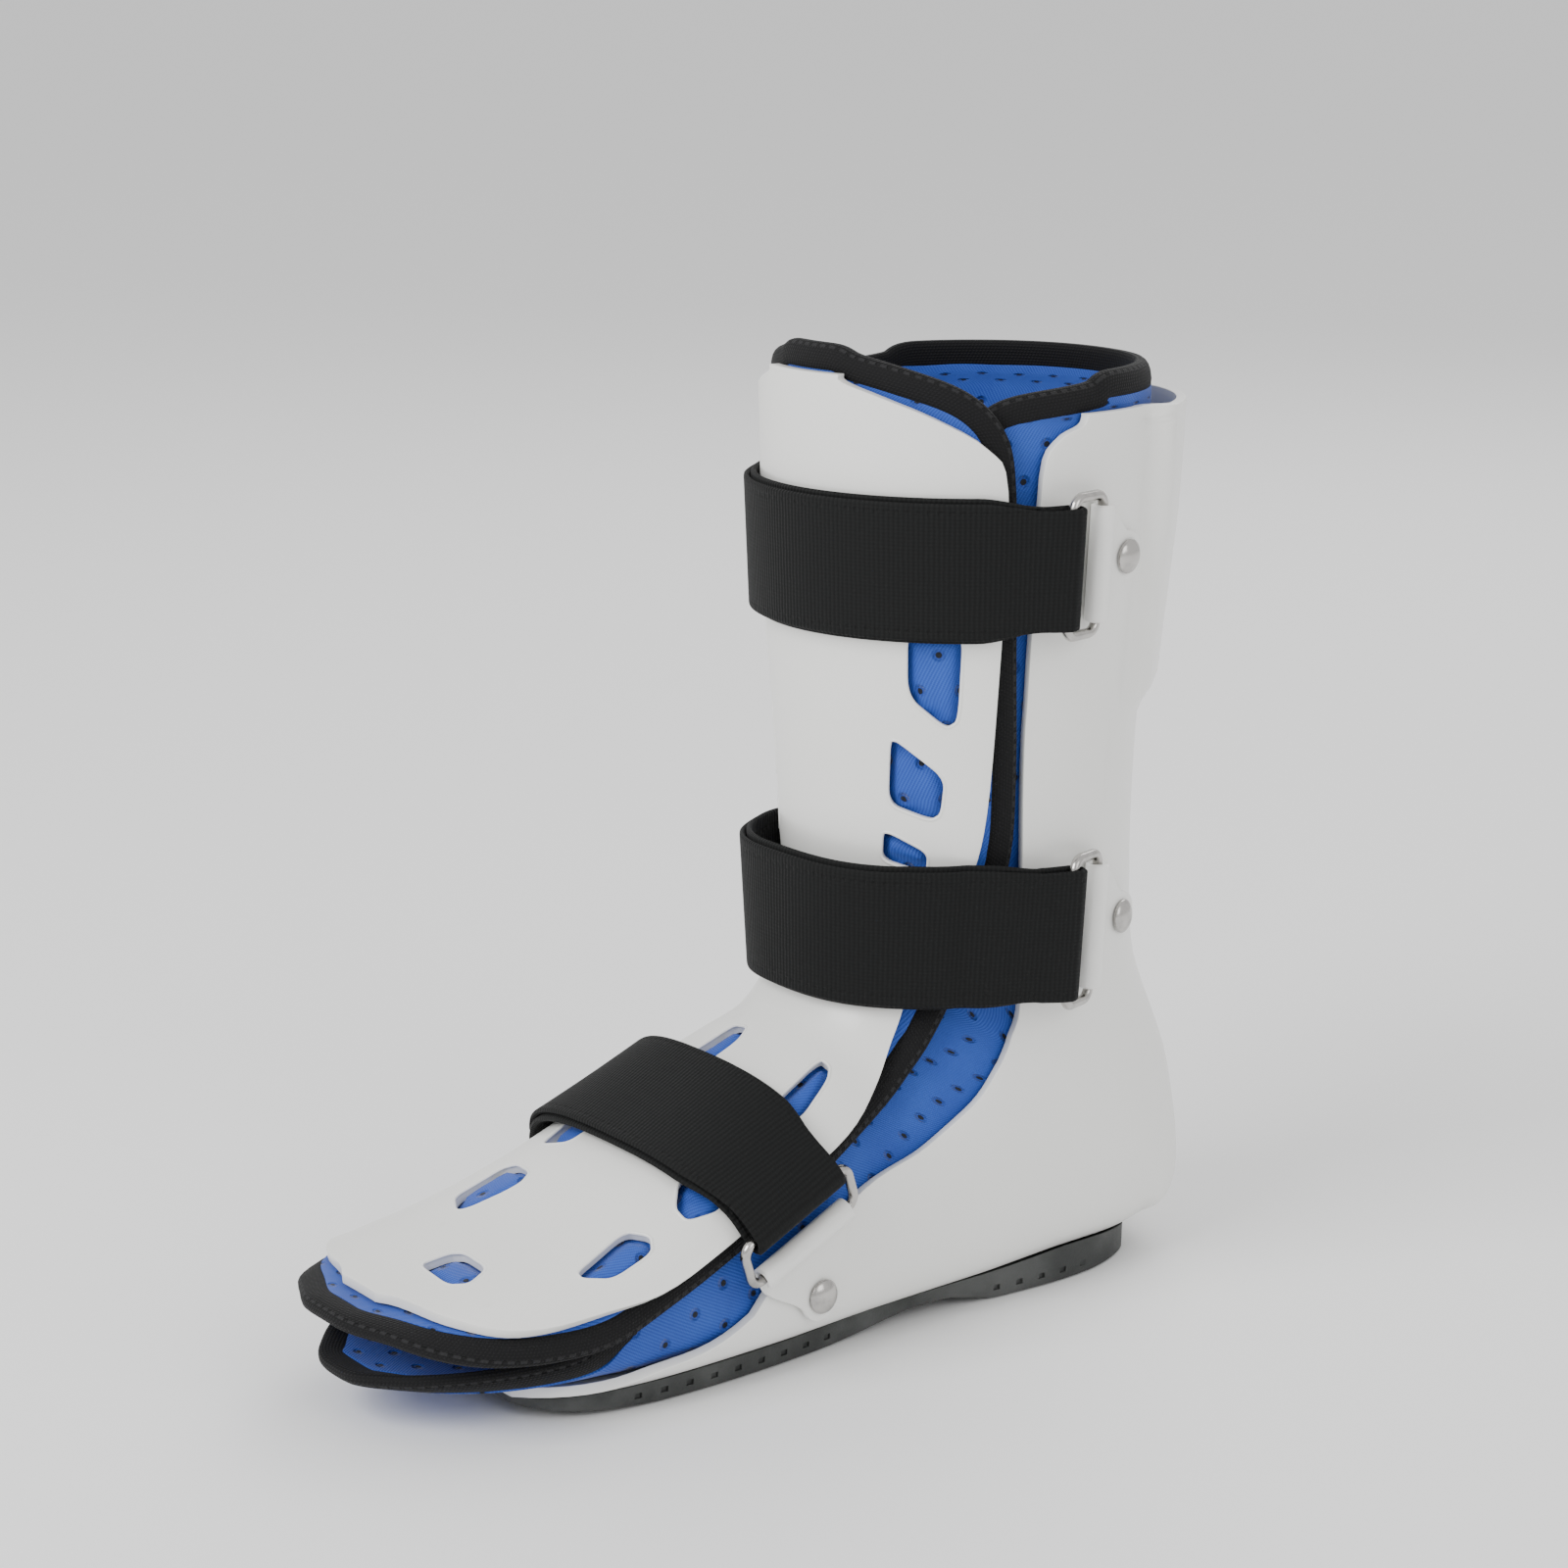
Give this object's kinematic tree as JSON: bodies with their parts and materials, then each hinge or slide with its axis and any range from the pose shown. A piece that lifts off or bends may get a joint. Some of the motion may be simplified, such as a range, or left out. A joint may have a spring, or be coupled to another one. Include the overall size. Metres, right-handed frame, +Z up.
{
  "type": "hard-shell ankle-foot night splint",
  "caption": "Night splint for a left foot and lower leg: two white moulded shells, blue padded liners, black edge binding, ring-and-tab straps and a rubber sole.",
  "frame": {"origin": "on the ground plane under the sole, below the middle of the leg opening, on the flat heel pad", "axes": "+Z up the leg, toes towards -Y, outer side of the left foot with the rings and tabs towards +X"},
  "size_m": [0.1243, 0.2949, 0.2868],
  "materials": {
    "white_shell": "satin white moulded plastic",
    "blue_padding": "blue fine-ribbed padded fabric with punched holes",
    "black_binding": "black knitted edge binding",
    "black_webbing": "black woven hook-and-loop webbing",
    "dark_rubber": "dark grey rubber sole",
    "bright_metal": "bright nickel"
  },
  "bodies": {
    "root": {"rear_shell": "white_shell", "front_shell": "white_shell", "rear_liner": "blue_padding", "front_liner": "blue_padding", "rear_binding": "black_binding", "front_binding": "black_binding", "outsole": "dark_rubber", "shin_strap": "black_webbing", "ankle_strap": "black_webbing", "forefoot_strap": "black_webbing", "shin_ring": "bright_metal", "ankle_ring": "bright_metal", "forefoot_ring": "bright_metal", "shin_tab": "white_shell", "ankle_tab": "white_shell", "forefoot_tab": "white_shell", "shin_rivet_outer": "bright_metal", "ankle_rivet_outer": "bright_metal", "forefoot_rivet_outer": "bright_metal", "shin_rivet_inner": "bright_metal", "ankle_rivet_inner": "bright_metal", "forefoot_rivet_inner": "bright_metal"}
  },
  "joints": []
}
